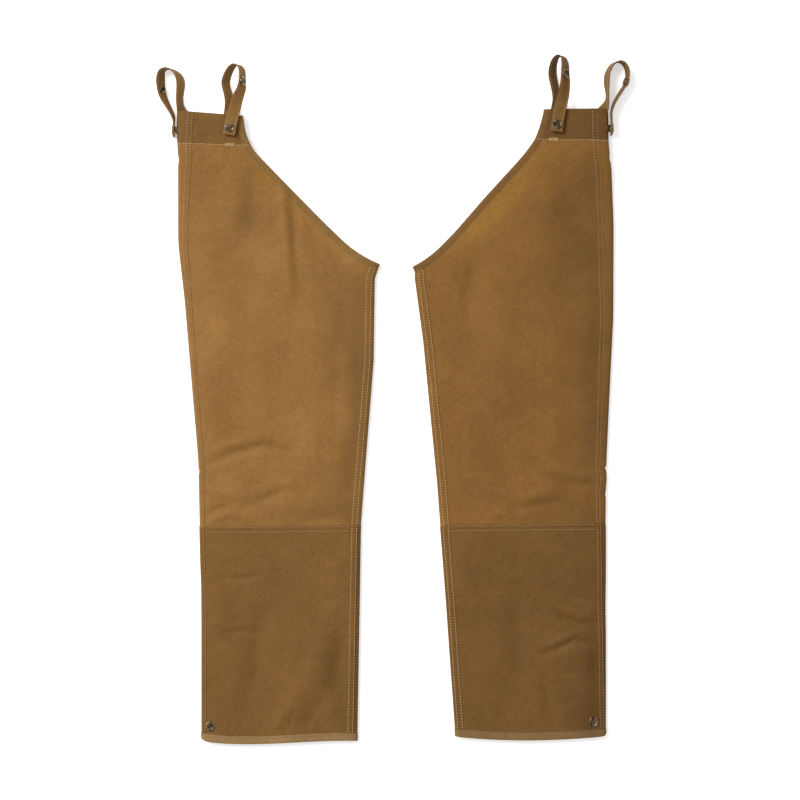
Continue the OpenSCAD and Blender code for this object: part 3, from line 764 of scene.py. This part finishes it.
def paint(piece, leg, painted_shade_and_tone=0.0):
    """Stores each point's painted shade, mixed with the wax's own patches, and its warmth for the canvas
    materials.
    """
    mesh = piece.data
    points = np.empty(len(mesh.vertices) * 3)
    mesh.vertices.foreach_get("co", points)
    x, y, z = points.reshape(-1, 3).T / METRES
    shade, warmth = np.full(len(x), float(painted_shade_and_tone)), np.zeros(len(x))
    for points, spread, darker, warmer in leg.painted_shade_and_tones if leg else ():
        near = along_fold(x, y, points, spread)
        shade += darker * near
        warmth += warmer * near
    if leg:
        # Painted shade: both legs turn away from the light at their right-hand edges, which is the inner
        # edge of the left leg, up to the crotch, and the outer edge of the right leg, above it too, and are
        # darkened there
        inner = leg.inward > 0
        edge = leg.body_x(y) if inner else leg.outer(y)
        top = leg.crotch_y if inner else leg.crotch_y + 200
        shade -= 0.4 * np.exp(-(((edge - x) / 6) ** 2)) * (y < top)
    for name, values in (("painted_shade_and_tone", shade), ("warm", np.clip(warmth, 0, 1))):
        store = mesh.attributes.new(name, "FLOAT", "POINT")
        store.data.foreach_set("value", values.astype(np.float32))


def dress(piece, side, crosses_knee=False, body="thigh", painted_shade_and_tone=0.0):
    """Paints a cloth piece, and joins it to its leg unless it crosses the knee, when its place is baked
    into its points.
    """
    paint(piece, LEGS[side], painted_shade_and_tone)
    if crosses_knee:
        leg = LEGS[side]
        middle = float(leg.outer(leg.knee_y) + leg.body_x(leg.knee_y)) / 2
        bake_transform(piece)
    else:
        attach(piece, f"{side}_{body}")
    return piece


def flat_size(points):
    """Width, length and area of a grid of cloth laid out flat, in metres."""
    across = np.linalg.norm(np.diff(points, axis=1), axis=2)
    along = np.linalg.norm(np.diff(points, axis=0), axis=2)
    tilt = np.cross(points[1:, :-1] - points[:-1, :-1], points[:-1, 1:] - points[:-1, :-1])
    area = float(np.linalg.norm(tilt, axis=2).sum())
    return across.sum(1).max() * METRES, along.sum(0).max() * METRES, area * METRES**2


def lay(piece, points):
    width, length, area = flat_size(points)
    flat = (round(width, 3), round(length, 3))
    area = min(round(area, 4), flat[0] * flat[1])
    return piece


def panels(side):
    """The front panel, and the back panel that wraps round both sides onto it."""
    leg = LEGS[side]
    front, facing = cloth_grid(leg, [(c, FRONT) for c in ACROSS])
    flip = leg.inward < 0
    front_panel = layer(f"{side}_front_canvas", front, facing, PLY, CLOTH[side], flip=flip)
    back, back_facing = cloth_grid(leg, AROUND)
    back_panel = layer(f"{side}_back_canvas", back, back_facing, PLY, CLOTH[side], flip=not flip)
    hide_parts(f"{side}_front_panel_thigh", f"{side}_front_panel_shin")
    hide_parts(f"{side}_back_panel_thigh", f"{side}_back_panel_shin")
    for piece in (front_panel, back_panel):
        dress(piece, side, crosses_knee=True)
    shin, band = range(STRETCHES[0]), range(sum(STRETCHES[:2]), sum(STRETCHES))
    other_cloth(front_panel, *front.shape[:2], band, BAND[side])
    other_cloth(back_panel, *back.shape[:2], band, BAND[side])
    other_cloth(back_panel, *back.shape[:2], shin, OVERLAY[side])
    over, over_facing = cloth_grid(leg, [(c, FRONT) for c in ACROSS], shin_column)
    raised = over + over_facing * (PLY + 0.05)
    overlay = layer(f"{side}_shin_canvas", raised, over_facing, PLY, OVERLAY[side], flip=flip)
    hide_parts(f"{side}_shin_overlay")
    dress(overlay, side, crosses_knee=True)
    return (front_panel, front), (back_panel, back), (overlay, over)


def facings(side):
    """The waist facings, inside the front and the back."""
    leg = LEGS[side]
    low = leg.band_y - 5
    pieces = []
    for face, word in ((FRONT, "front"), (BACK, "back")):
        shares, rises = np.meshgrid(np.linspace(0, 1, 40), np.linspace(0, 1, 24))
        y = low + rises * (leg.waist_y - low)
        x = leg.outer(y) + leg.inward * 4 + shares * (leg.open_x(y) - leg.inward * 12 - leg.outer(y))
        y = low + rises * (leg.waist(x) - 0.4 - low)
        spots, facing = leg.surface(x, y, face)
        spots = spots - facing * (PLY + 0.05)
        flip = leg.inward * face < 0
        piece = layer(f"{side}_{word}_facing", spots, facing, FACING_PLY, BAND[side], flip=flip)
        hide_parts(f"{side}_{word}_waist_facing")
        dress(piece, side)
        pieces.append((piece, spots))
    return pieces


# ---- seams, tapes and stitches

SEAM_PROFILE = [
    (-1.6, -0.2), (-1.2, 0.35), (-0.2, 0.42), (0.9, 0.72), (3.6, 0.85), (6.5, 0.72), (7.5, 0.5),
    (8.5, 0.8), (9.1, 0.7), (9.3, -0.2),
]
OPENING_ROW, HEM_ROW = 0.83, 0.66  # how far up a tape its stitches run


def tape_profile(row):
    """A folded tape's section as (share of its width, height), dented along its stitches."""
    return [
        (0.98, -0.3), (0.97, 0.5), (row + 0.07, 0.75), (row, 0.5), (row - 0.08, 0.8), (0.35, 0.9),
        (0.12, 0.85), (-0.02, 0.5), (-0.06, -0.3), (-0.05, -1.1), (0.05, -1.75), (0.4, -1.95),
        (0.85, -1.85), (0.95, -1.5),
    ]


def doubled(leg, y):
    """How much higher the seams lie over the doubled shin."""
    return PLY * step((leg.knee_y - y) / 5)


def seam_x(leg, y, where, inset):
    if where == "outer":
        inset = inset * leg.seam_gauge(y) / SEAM_GAUGE + leg.seam_over(y)
        return leg.outer(y) + leg.inward * np.maximum(leg.seam_out(y) + inset, 0.15)
    return leg.body_x(y) - leg.inward * np.maximum(leg.seam_in(y) + inset, 0.15)


def felled_seam(side, where):
    """The flat-felled seam that joins the back panel to the front, as a raised strip."""
    leg = LEGS[side]
    c = 2 if where == "outer" else 3
    low, high = column_ends(leg, c)
    knee = float(knee_line(leg, c))
    band = float(leg.band(column_x(leg, c, leg.band_y)))
    y = np.unique(np.append(np.arange(low + 0.9 * HEM_WIDTH, high - 1, 3.0), [knee, band]))
    y = y[y < high - 1]
    rings = []
    for inset, rise in SEAM_PROFILE:
        spots, facing = leg.surface(seam_x(leg, y, where, inset), y, FRONT)
        lift = rise + doubled(leg, y) * (inset > -1.5)
        rings.append(spots + facing * lift[:, None])
    for inset in (8, 3, 0):
        spots, facing = leg.surface(seam_x(leg, y, where, inset), y, FRONT)
        rings.append(spots - facing * 0.4)
    flip = (leg.inward > 0) == (where == "outer")
    rings = np.stack(rings, 1)
    piece = swept(f"{side}_{where}_seam", rings, CLOTH[side], flip=not flip)
    other_cloth(piece, *rings.shape[:2], range(int(np.sum(y < knee))), OVERLAY[side])
    other_cloth(piece, *rings.shape[:2], range(int(np.sum(y < band)), len(y)), BAND[side])
    return dress(piece, side, crosses_knee=True, painted_shade_and_tone=-0.08)


def opening_path(leg, spacing=3.0):
    """The opening's edge from the waist to the crotch, and the way into the cloth from it."""
    corner = float(leg.open_x(leg.waist_y))
    y = np.linspace(float(leg.waist(corner)) - 0.2, leg.crotch_y, 600)
    line = np.stack([leg.open_x(y), y], 1)
    run = np.concatenate([[0], np.cumsum(np.linalg.norm(np.diff(line, axis=0), axis=1))])
    stops = np.linspace(0, run[-1], int(run[-1] / spacing))
    line = np.stack([np.interp(stops, run, line[:, k]) for k in (0, 1)], 1)
    ahead = np.gradient(line, axis=0)
    ahead /= np.linalg.norm(ahead, axis=1, keepdims=True)
    within = np.stack([-ahead[:, 1], ahead[:, 0]], 1)
    within *= np.where(within[:, :1] * leg.inward > 0, -1, 1)
    return line, within


def opening_points(leg, width, rise, face):
    line, within = opening_path(leg)
    spot = line + within * max(width, 0)
    points, facing = leg.surface(spot[:, 0], spot[:, 1], face)
    points = points + facing * rise
    points[:, :2] += within * min(width, 0)
    return points, facing


def opening_tape(side):
    """The bias tape round the slanted opening, front edge, crotch and back edge in one."""
    leg = LEGS[side]
    rings = []
    for share, rise in tape_profile(OPENING_ROW):
        front, _ = opening_points(leg, share * TAPE_WIDTH, rise, FRONT)
        back, _ = opening_points(leg, share * TAPE_WIDTH, rise, BACK)
        rings.append(np.concatenate([front, back[::-1]]))
    piece = swept(f"{side}_opening_tape", np.stack(rings, 1), TAPE[side], flip=leg.inward < 0)
    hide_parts(f"{side}_top_binding")
    return dress(piece, side)


def hem_points(leg, share, rise, columns):
    """A line round the hem, a share of the way up its tape, with the ways it faces."""
    points = []
    for c, face in columns:
        low, _ = column_ends(leg, c)
        top = leg.hem_line(column_x(leg, c, low)) + HEM_WIDTH
        y = low + max(share, 0) * (top - low)
        spot, facing = leg.surface(column_x(leg, c, y), y, face)
        over = PLY * step(min(c, 5 - c)) if face == FRONT else 0.0
        spot = spot + facing * (rise + (over if rise > 0 else 0.0))
        spot[1] += min(share, 0) * HEM_WIDTH
        points.append((spot, facing))
    return np.array([p for p, _ in points]), np.array([f for _, f in points])


HEM_COLUMNS = (
    [(c, FRONT) for c in TURN] + [(1.5, FRONT)] + [(c, FRONT) for c in ACROSS] + [(3.5, FRONT)]
    + [(5 - c, FRONT) for c in TURN[::-1]] + [(5 - c, BACK) for c in TURN[1:]] + [(3.5, BACK)]
    + [(c, BACK) for c in ACROSS[::-1]] + [(1.5, BACK)] + [(c, BACK) for c in TURN[:0:-1]]
)


def hem_tape(side):
    leg = LEGS[side]
    rings = [hem_points(leg, share, rise, HEM_COLUMNS)[0] for share, rise in tape_profile(HEM_ROW)]
    piece = swept(f"{side}_hem_tape", np.stack(rings, 1), HEM_TAPE[side], closed=True, flip=leg.inward > 0)
    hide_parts(f"{side}_hem_binding")
    return dress(piece, side, body="shin")


STITCH_RINGS = [  # how far along a stitch, how thick and how high
    (-1, 0.4, -0.3), (-0.75, 0.9, 0.0), (-0.3, 1, 0.16), (0.3, 1, 0.16), (0.75, 0.9, 0.0), (1, 0.4, -0.3),
]
STITCH_SIDES = 6


def stitches(name, rows, chance, thread, length=STITCH, gap=STITCH_GAP):
    """Short arched stitches along rows of (points, facings), in one mesh."""
    points, faces = [], []
    for line, facing in rows:
        run = np.concatenate([[0], np.cumsum(np.linalg.norm(np.diff(line, axis=0), axis=1))])
        stops = np.arange(length, run[-1] - length / 2, length + gap)
        for stop in stops:
            at = np.array([np.interp(stop, run, line[:, k]) for k in range(3)])
            near = [np.array([np.interp(stop + d, run, line[:, k]) for k in range(3)]) for d in (-1.2, 1.2)]
            up = np.array([np.interp(stop, run, facing[:, k]) for k in range(3)])
            ahead = (near[1] - near[0]) / np.linalg.norm(near[1] - near[0])
            side = np.cross(up, ahead)
            side /= np.linalg.norm(side)
            ahead = ahead + side * chance.uniform(-0.06, 0.06)
            at = at + side * chance.uniform(-0.1, 0.1)
            start = len(points)
            for t, thick, lift in STITCH_RINGS:
                for k in range(STITCH_SIDES):
                    turn = 2 * math.pi * k / STITCH_SIDES
                    points.append(
                        at + ahead * t * length / 2 + up * lift
                        + (side * math.cos(turn) + up * math.sin(turn)) * THREAD_R * thick
                    )
            count = len(STITCH_RINGS)
            faces += quads(count, STITCH_SIDES, True, start, flip=True)
            faces.append([start + k for k in range(STITCH_SIDES)])
            last = start + (count - 1) * STITCH_SIDES
            faces.append([last + k for k in range(STITCH_SIDES)][::-1])
    return make_mesh(name, points, faces, thread, smooth_angle=80)


def seam_rows(leg, where):
    c = 2 if where == "outer" else 3
    low, high = column_ends(leg, c)
    rows = []
    for inset, rise in ((-0.2, 0.42), (-0.2 + SEAM_GAUGE, 0.5)):
        y = np.arange(low + HEM_WIDTH, high - 3, 3.0)
        spots, facing = leg.surface(seam_x(leg, y, where, inset), y, FRONT)
        rows.append((spots + facing * (rise + 0.1 + doubled(leg, y))[:, None], facing))
    return rows


def knee_rows(leg):
    rows = []
    for below in (1.6, 1.6 + SEAM_GAUGE):
        c = np.linspace(2.03, 2.97, 90)
        y = np.array([knee_line(leg, value) for value in c]) - below
        x = np.array([column_x(leg, value, at) for value, at in zip(c, y)])
        spots, facing = leg.surface(x, y, FRONT)
        rows.append((spots + facing * (PLY + 0.12), facing))
    return rows


def waist_rows(leg):
    """The rows that hold the facings, over the outer seam and the opening's tape."""
    rows = []
    for face in (FRONT, BACK):
        x = np.linspace(leg.outer(leg.band_y) + leg.inward, leg.open_x(leg.band_y) - leg.inward, 120)
        y = leg.band(x)
        spots, facing = leg.surface(x, y, face)
        seam = (x - leg.outer(y)) * leg.inward - leg.seam_out(y)
        over = ((seam > -1.5) & (seam < 9.2)) | ((leg.open_x(y) - x) * leg.inward < TAPE_WIDTH)
        lift = 0.12 + 0.75 * over * (face == FRONT)
        rows.append((spots + facing * lift[:, None], facing))
    return rows


def bar_tack(leg, side):
    """The zigzag that holds the front loop's sewn end, on the waist's stitch row."""
    strap_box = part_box(f"{side}_front_loop_strap")
    middle = (strap_box[0][0] + strap_box[1][0]) / 2 / METRES + leg.inward * 1.5
    x = middle + np.linspace(-7.5, 7.5, 27)
    y = leg.band(x) + 0.6 + np.where(np.arange(27) % 2 == 0, -2.3, 2.3)
    spots, facing = leg.surface(x, y, FRONT)
    fine = np.linspace(0, 26, 26 * 4 + 1)
    line = np.stack([np.interp(fine, np.arange(27), spots[:, k]) for k in range(3)], 1)
    up = np.stack([np.interp(fine, np.arange(27), facing[:, k]) for k in range(3)], 1)
    return line + up * 0.3, up


def tape_rows(leg):
    rows = []
    for face in (FRONT, BACK):
        points, facing = opening_points(leg, TAPE_WIDTH * OPENING_ROW, 0.62, face)
        rows.append((points, facing))
    return rows


def hem_rows(leg):
    points, facing = hem_points(leg, HEM_ROW, 0.62, HEM_COLUMNS)
    return [(points, facing)]


def leg_pieces(side):
    leg = LEGS[side]
    chance = random.Random(side)
    (front, front_grid), (back, back_grid), (overlay, over_grid) = panels(side)
    seams = [felled_seam(side, where) for where in ("outer", "inner")]
    tape, hem = opening_tape(side), hem_tape(side)
    outer_thread = stitches(f"{side}_outer_seam_stitches", seam_rows(leg, "outer"), chance, DULL_THREAD)
    inner_thread = stitches(f"{side}_inner_seam_stitches", seam_rows(leg, "inner"), chance, THREAD)
    knee_thread = stitches(f"{side}_knee_stitches", knee_rows(leg), chance, DULL_THREAD)
    waist_thread = stitches(f"{side}_waist_stitches", waist_rows(leg), chance, THREAD)
    tack = stitches(f"{side}_bar_tack", [bar_tack(leg, side)], chance, DULL_THREAD, length=2.4, gap=0.0)
    tape_thread = stitches(f"{side}_tape_stitches", tape_rows(leg), chance, DARK_THREAD)
    hem_thread = stitches(f"{side}_hem_stitches", hem_rows(leg), chance, DARK_THREAD)
    for piece in (outer_thread, inner_thread, knee_thread):
        dress(piece, side, crosses_knee=True)
    for piece in (waist_thread, tack, tape_thread):
        dress(piece, side)
    dress(hem_thread, side, body="shin")
    lay(front, front_grid)
    lay(back, back_grid)
    lay(overlay, over_grid)
    for piece, grid in facings(side):
        lay(piece, grid)


for each_side in SIDES:
    leg_pieces(each_side)

# ---- belt loops: stations [x, y, z, lean], lean being the slope in degrees of the strap's
# width. A limb is sewn inside the waistband, and from the loop's top the tab snaps outside.

STRAP_W, STRAP_T = 20.0, 2.0
STEPS = 9
SEWN_Z = 12.45
SNAPPED_Z = 22.75
BACK_LIMB_Z = 3.75
ON_EDGE_Z = 10.6
LOOPS = {
    "left_front": (9, 12, 1, [
        (-264.8, 411, SEWN_Z, 0), (-264.8, 430, SEWN_Z, 0), (-263, 447, SEWN_Z - 0.6, -2),
        (-260.4, 461, SEWN_Z - 1.4, -12), (-260.6, 474, 12.4, -36), (-263.4, 487, 12.4, -48),
        (-267.5, 505, 12, -50), (-264, 519, 14, -54), (-257.5, 530, 16.5, -60), (-250, 533.6, 17, -66),
        (-243, 529.4, 17.5, -66), (-240.4, 519, 19.5, -65), (-240.5, 507, 21.8, -61),
        (-242, 495, 22.4, -46), (-247, 482, 22.7, -32), (-253, 462, 22.7, -12),
        (-258, 443, SNAPPED_Z, 0), (-261.9, 422, SNAPPED_Z, 0)]),
    "right_front": (9, 12, 1, [
        (259.5, 416, SEWN_Z, 0), (259.5, 436, SEWN_Z, 0), (260.6, 453, SEWN_Z - 0.6, -2),
        (262.6, 466, SEWN_Z - 1.4, -12), (263, 478, 12.4, -34), (260.6, 492, 12.4, -45),
        (255.6, 517, 12, -44), (256.2, 533, 14, -52), (260.4, 544, 16.5, -60), (267, 547.6, 17, -64),
        (273, 543.4, 17.5, -58), (275.2, 533, 19.5, -52), (275, 519, 21.8, -46),
        (274.8, 504, 22.4, -36), (272.6, 488, 22.7, -24), (268, 469, 22.7, -8),
        (263.5, 448, SNAPPED_Z, 0), (260.6, 427, SNAPPED_Z, 0)]),
    "left_rear": (8, 11, -1, [
        (-333, 412, BACK_LIMB_Z, 0), (-333, 430, BACK_LIMB_Z, 0), (-333.3, 446, 4.8, -4),
        (-339.4, 464.5, 10, -52), (-341.3, 481, 11, -60), (-339.7, 505, 11.2, -52),
        (-343.5, 517.5, 11, -58), (-351, 525.2, 10.8, -68), (-361, 528.6, 10.8, -74),
        (-369.2, 524.2, 10.8, -62), (-371.8, 512, 11, -50), (-370.5, 495, 11, -53),
        (-366.8, 482, 10.8, -58), (-360.7, 470, ON_EDGE_Z, -66), (-353.4, 456, ON_EDGE_Z, -76),
        (-351.1, 448, ON_EDGE_Z, -84), (-350.75, 442, ON_EDGE_Z, -90), (-350.75, 419, ON_EDGE_Z, -90)]),
    "right_rear": (8, 11, -1, [
        (331, 416, BACK_LIMB_Z, 0), (331, 434, BACK_LIMB_Z, 0), (331, 450, 4.8, 4),
        (339.2, 468, 10.3, 54), (343, 483, 11, 82), (342, 506, 11.2, 70), (343.4, 521.5, 11, 70),
        (351, 535, 10.8, 74), (361.5, 539.8, 10.8, 76), (370.6, 535.4, 10.8, 76),
        (375, 524, 10.8, 76), (373.6, 507, 10.8, 78), (365.2, 493, ON_EDGE_Z, 76),
        (354.2, 474, ON_EDGE_Z, 82), (349.6, 459, ON_EDGE_Z, 88), (349.75, 447, ON_EDGE_Z, 90),
        (349.75, 422, ON_EDGE_Z, 90)]),
}
STRAP_HALF_SECTION = [
    (-9.95, 0.0), (-9.85, 0.6), (-9.3, 1.0), (-8.5, 1.02), (-7.9, 0.85), (-7.3, 0.72), (-6.7, 0.85),
    (-6.0, 0.95), (0.0, 0.98), (6.0, 0.95), (6.7, 0.85), (7.3, 0.72), (7.9, 0.85), (8.5, 1.02),
    (9.3, 1.0), (9.85, 0.6), (9.95, 0.0),
]
STRAP_SECTION = STRAP_HALF_SECTION + [(u, -v) for u, v in STRAP_HALF_SECTION[-2:0:-1]]
STRAP_ROW = 7.3


def unit(v):
    return v / np.linalg.norm(v, axis=-1, keepdims=True)


def strap_line(stations):
    """A smooth line through the stations, with the strap's heading, width and face along it."""
    s = np.array(stations, float)
    padded = np.concatenate([s[:1], s, s[-1:]])
    points = []
    for a, b, c, d in zip(padded, padded[1:], padded[2:], padded[3:]):
        for k in range(STEPS):
            t = k / STEPS
            points.append(0.5 * (
                2 * b + (c - a) * t + (2 * a - 5 * b + 4 * c - d) * t**2 + (3 * b - a - 3 * c + d) * t**3
            ))
    points.append(s[-1])
    line = np.array(points)
    middle, lean = line[:, :3], np.radians(line[:, 3])
    ahead = unit(np.gradient(middle, axis=0))
    wide = np.stack([np.cos(lean), np.zeros(len(lean)), np.sin(lean)], 1)
    wide = unit(wide - (wide * ahead).sum(1, keepdims=True) * ahead)
    return middle, ahead, wide, np.cross(ahead, wide)


def strap(name, line, first, last, material):
    """A length of strap with rolled edges, and its two rows of stitches on both faces."""
    middle, ahead, wide, face = (part[first : last + 1] for part in line)
    rings = np.stack([middle + wide * u + face * v for u, v in STRAP_SECTION], 1)
    piece = swept(name, rings, material)
    rows = []
    for side in (1, -1):
        for u in (-STRAP_ROW, STRAP_ROW):
            rows.append((middle + wide * u + face * side * 0.95, face * side))
    thread = stitches(f"{name}_stitches", rows, random.Random(name), DULL_THREAD)
    return piece, thread


def belt_loop(key):
    """One loop: the limb that is sewn in, the tab that runs on from the loop's top, and the tab's caps."""
    side, where = key.split("_")
    top, upper, upper_face, stations = LOOPS[key]
    line = strap_line(stations)
    limb, limb_thread = strap(f"{key}_loop", line, 0, STEPS * top, STRAP[side])
    tab, tab_thread = strap(f"{key}_tab", line, STEPS * top, STEPS * (len(stations) - 1), STRAP[side])
    for piece in (limb, tab):
        paint(piece, None)
    for piece in (limb, limb_thread):
        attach(piece, f"{side}_thigh")
    for piece in (tab, tab_thread):
        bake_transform(piece)
    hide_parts(f"{side}_{where}_loop_strap")
    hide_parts(f"{side}_{where}_tab_strap")
    middle, _, _, face = line
    at = STEPS * upper
    out = face[at] * upper_face
    snap_cap(f"{key}_upper_cap", middle[at] + out * STRAP_T / 2, out, f"{key}_tab", f"{key}_tab_upper_cap")
    base_low, base_high = (np.array(corner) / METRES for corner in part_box(f"{key}_tab_end_cap"))
    centre = (base_low + base_high) / 2
    if where == "front":
        centre[2], out = base_low[2], np.array([0, 0, 1.0])
    else:
        out = np.array([-1.0 if side == "left" else 1.0, 0, 0])
        centre[0] = base_high[0] if side == "left" else base_low[0]
    snap_cap(f"{key}_end_cap", centre, out, f"{key}_tab", f"{key}_tab_end_cap")


CAP_RINGS = [
    (0.0, 0.55), (1.2, 0.56), (2.4, 0.62), (3.3, 0.72), (3.7, 0.9), (3.95, 0.92), (4.2, 0.74),
    (4.9, 0.78), (5.35, 0.95), (5.7, 1.35), (6.1, 1.68), (6.7, 1.8), (7.25, 1.6), (7.6, 1.1),
    (7.7, 0.55), (7.55, 0.15), (7.2, 0.0), (6.0, 0.0), (0.0, 0.0),
]
DISH_RADIUS = 5.3
CAP_SIDES = 64


def snap_cap(name, base, out, body, node):
    """A pressed snap cap: a rolled rim round a darker dish with a fine raised ring."""
    out = unit(np.asarray(out, float))
    wide = unit(np.cross(out, [0.31, 0.95, 0.02]))
    deep = np.cross(out, wide)
    points = []
    for radius, rise in CAP_RINGS:
        for k in range(CAP_SIDES):
            turn = 2 * math.pi * k / CAP_SIDES
            points.append(base + out * rise + (wide * math.cos(turn) + deep * math.sin(turn)) * radius)
    faces = quads(len(CAP_RINGS), CAP_SIDES, True, 0)
    piece = make_mesh(name, points, faces, RIM, smooth_angle=55)
    piece.data.materials.append(DISH)
    tidy_ends(piece)
    for polygon in piece.data.polygons:
        spot = np.array(polygon.center) / METRES - base
        from_axis = np.linalg.norm(spot - (spot @ out) * out)
        polygon.material_index = 1 if from_axis < DISH_RADIUS and spot @ out > 0.3 else 0
    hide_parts(node)
    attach(piece, body)


def tidy_ends(piece):
    """Joins the points that coincide on a turned piece's axis."""
    mesh = bmesh.new()
    mesh.from_mesh(piece.data)
    bmesh.ops.remove_doubles(mesh, verts=mesh.verts, dist=1e-6)
    bmesh.ops.recalc_face_normals(mesh, faces=mesh.faces)
    mesh.to_mesh(piece.data)
    mesh.free()


for each_loop in LOOPS:
    belt_loop(each_loop)
for each_side in SIDES:
    cap_low, cap_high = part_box(f"{each_side}_hem_cap")
    cap_place = np.array([(cap_low[0] + cap_high[0]) / 2, (cap_low[1] + cap_high[1]) / 2, cap_low[2]])
    shin, cap_node = f"{each_side}_shin", f"{each_side}_hem_cap"
    snap_cap(f"{each_side}_ankle_cap", cap_place / METRES, (0, 0, 1), shin, cap_node)
for name, node in NODES.items():
    if not node.hide_render:
        node.data.materials.clear()
        node.data.materials.append(RIM)

# ---- camera, light and floor

camera = bpy.data.objects.new("camera", bpy.data.cameras.new("camera"))
bpy.context.scene.collection.objects.link(camera)
bpy.context.scene.camera = camera
VIEW_WIDTH, VIEW_HEIGHT = 1280.0, 4000.0
camera.location = Vector((11.2, -1.6, VIEW_HEIGHT)) * METRES
camera.data.sensor_width = 36
camera.data.lens = 36 * (VIEW_HEIGHT - 11) / VIEW_WIDTH

FLOOR_SIDE = 30.0
floor_mesh = bpy.data.meshes.new("floor")
half = FLOOR_SIDE / 2
floor_mesh.from_pydata(
    [(-half, -half, -0.0004), (half, -half, -0.0004), (half, half, -0.0004), (-half, half, -0.0004)],
    [], [(0, 1, 2, 3)],
)
floor = bpy.data.objects.new("floor", floor_mesh)
bpy.context.scene.collection.objects.link(floor)
floor_look = Graph("floor_paper")
floor_look.shader.inputs["Base Color"].default_value = (0.93, 0.93, 0.93, 1)
floor_look.shader.inputs["Roughness"].default_value = 0.9
floor_look.shader.inputs["Emission Color"].default_value = (1, 1, 1, 1)
floor_look.shader.inputs["Emission Strength"].default_value = 0.4
floor_mesh.materials.append(floor_look.material)


def soft_light(name, place, aim, size, power):
    light = bpy.data.lights.new(name, "AREA")
    light.shape = "SQUARE"
    light.size = size
    light.energy = power
    lamp = bpy.data.objects.new(name, light)
    lamp.location = place
    lamp.rotation_euler = (Vector(aim) - Vector(place)).to_track_quat("-Z", "Y").to_euler()
    bpy.context.scene.collection.objects.link(lamp)


soft_light("key", (-3.9, 3.0, 4.9), (0, 0, 0), 3.0, 500)
world = bpy.data.worlds.new("studio")
world.use_nodes = True
world.node_tree.nodes["Background"].inputs["Color"].default_value = (1.0, 1.0, 1.0, 1)
world.node_tree.nodes["Background"].inputs["Strength"].default_value = 0.62
bpy.context.scene.world = world
bpy.context.scene.view_settings.view_transform = "Standard"
